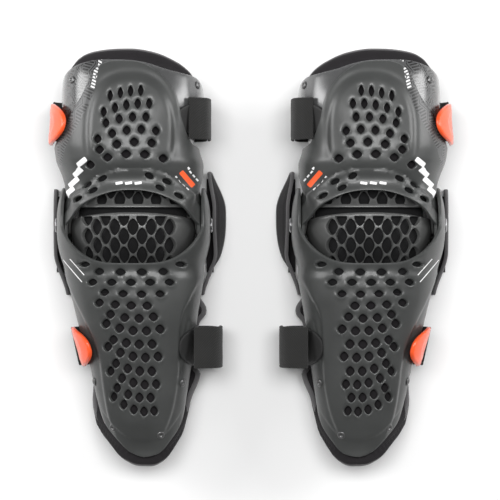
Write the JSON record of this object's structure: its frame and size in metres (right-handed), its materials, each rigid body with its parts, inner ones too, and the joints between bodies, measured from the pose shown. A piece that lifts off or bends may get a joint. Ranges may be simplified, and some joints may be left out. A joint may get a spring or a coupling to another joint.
{
  "type": "hinged knee guards",
  "caption": "Pair of hinged off-road motorcycle knee guards: vented thigh and shin shells, honeycomb knee cups, foam liners, and straps with orange clips.",
  "frame": {"origin": "on the surface that the guards lie on, under the middle of the pair", "axes": "+Z out of the fronts of the guards, +Y towards the thigh ends, +X towards the right-hand guard in a front view"},
  "size_m": [0.4098, 0.4187, 0.1107],
  "materials": {
    "shell": "moulded dark grey nylon, satin with a fine grain",
    "inner_guard": "moulded dark grey nylon with thin honeycomb ribs",
    "plate": "smooth dark grey flexible sheet with a hatched print",
    "liner": "foam in knitted black fabric with a bound grey edge",
    "webbing": "black woven elastic and hook-and-loop tape",
    "clip": "bright orange moulded plastic",
    "rivet": "dark grey push rivets",
    "steel": "dark plated steel"
  },
  "bodies": {
    "left_shin": {"left_shin_shell": "shell", "left_hinge_pin_inner": "steel", "left_hinge_pin_outer": "steel", "left_hinge_washer_inner": "steel", "left_hinge_washer_outer": "steel", "left_shin_liner": "liner", "left_knee_pad": "liner", "left_knee_wing_inner": "liner", "left_knee_wing_outer": "liner", "left_lower_strap": "webbing", "left_lower_strap_tab": "webbing", "left_lower_clip_stud": "steel", "left_shin_rivet_outer_upper": "rivet", "left_shin_rivet_inner_upper": "rivet", "left_shin_rivet_outer_lower": "rivet", "left_shin_rivet_inner_lower": "rivet"},
    "left_thigh": {"left_thigh_shell": "shell", "left_thigh_plate": "plate", "left_thigh_liner": "liner", "left_upper_strap": "webbing", "left_upper_strap_tab": "webbing", "left_upper_clip_stud": "steel", "left_thigh_rivet_inner": "rivet", "left_thigh_rivet_outer": "rivet"},
    "left_cup": {"left_knee_cup": "inner_guard"},
    "left_upper_guard": {"left_upper_guard": "inner_guard"},
    "left_upper_clip": {"left_upper_clip": "clip"},
    "left_lower_clip": {"left_lower_clip": "clip"},
    "right_shin": {"right_shin_shell": "shell", "right_hinge_pin_inner": "steel", "right_hinge_pin_outer": "steel", "right_hinge_washer_inner": "steel", "right_hinge_washer_outer": "steel", "right_shin_liner": "liner", "right_knee_pad": "liner", "right_knee_wing_inner": "liner", "right_knee_wing_outer": "liner", "right_lower_strap": "webbing", "right_lower_strap_tab": "webbing", "right_lower_clip_stud": "steel", "right_shin_rivet_outer_upper": "rivet", "right_shin_rivet_inner_upper": "rivet", "right_shin_rivet_outer_lower": "rivet", "right_shin_rivet_inner_lower": "rivet"},
    "right_thigh": {"right_thigh_shell": "shell", "right_thigh_plate": "plate", "right_thigh_liner": "liner", "right_upper_strap": "webbing", "right_upper_strap_tab": "webbing", "right_upper_clip_stud": "steel", "right_thigh_rivet_inner": "rivet", "right_thigh_rivet_outer": "rivet"},
    "right_cup": {"right_knee_cup": "inner_guard"},
    "right_upper_guard": {"right_upper_guard": "inner_guard"},
    "right_upper_clip": {"right_upper_clip": "clip"},
    "right_lower_clip": {"right_lower_clip": "clip"}
  },
  "joints": [
    {"name": "left_knee_flex", "type": "hinge", "parent": "left_shin", "child": "left_thigh", "pos_m": [-0.119, 0.033, 0.04], "axis": [-1, 0, 0], "range_deg": [-10, 100]},
    {"name": "left_cup_turn", "type": "hinge", "parent": "left_shin", "child": "left_cup", "pos_m": [-0.119, 0.033, 0.04], "axis": [-1, 0, 0], "range_deg": [-4, 36]},
    {"name": "left_upper_guard_turn", "type": "hinge", "parent": "left_shin", "child": "left_upper_guard", "pos_m": [-0.119, 0.033, 0.04], "axis": [-1, 0, 0], "range_deg": [-7, 66]},
    {"name": "left_upper_clip_swing", "type": "hinge", "parent": "left_thigh", "child": "left_upper_clip", "pos_m": [-0.20353, 0.135, 0.03615], "axis": [0, -1, 0], "range_deg": [0, 70]},
    {"name": "left_lower_clip_swing", "type": "hinge", "parent": "left_shin", "child": "left_lower_clip", "pos_m": [-0.17683, -0.09, 0.03694], "axis": [0, -1, 0], "range_deg": [0, 70]},
    {"name": "pair_spacing", "type": "slide", "parent": "left_shin", "child": "right_shin", "axis": [1, 0, 0], "range_m": [0, 0.15]},
    {"name": "right_knee_flex", "type": "hinge", "parent": "right_shin", "child": "right_thigh", "pos_m": [0.119, 0.033, 0.04], "axis": [-1, 0, 0], "range_deg": [-10, 100]},
    {"name": "right_cup_turn", "type": "hinge", "parent": "right_shin", "child": "right_cup", "pos_m": [0.119, 0.033, 0.04], "axis": [-1, 0, 0], "range_deg": [-4, 36]},
    {"name": "right_upper_guard_turn", "type": "hinge", "parent": "right_shin", "child": "right_upper_guard", "pos_m": [0.119, 0.033, 0.04], "axis": [-1, 0, 0], "range_deg": [-7, 66]},
    {"name": "right_upper_clip_swing", "type": "hinge", "parent": "right_thigh", "child": "right_upper_clip", "pos_m": [0.20353, 0.135, 0.03615], "axis": [0, 1, 0], "range_deg": [0, 70]},
    {"name": "right_lower_clip_swing", "type": "hinge", "parent": "right_shin", "child": "right_lower_clip", "pos_m": [0.17683, -0.09, 0.03694], "axis": [0, 1, 0], "range_deg": [0, 70]}
  ],
  "couplings": [
    {"joint": "left_cup_turn", "follows": "left_knee_flex", "ratio": 0.35},
    {"joint": "left_upper_guard_turn", "follows": "left_knee_flex", "ratio": 0.65},
    {"joint": "right_cup_turn", "follows": "right_knee_flex", "ratio": 0.35},
    {"joint": "right_upper_guard_turn", "follows": "right_knee_flex", "ratio": 0.65}
  ]
}
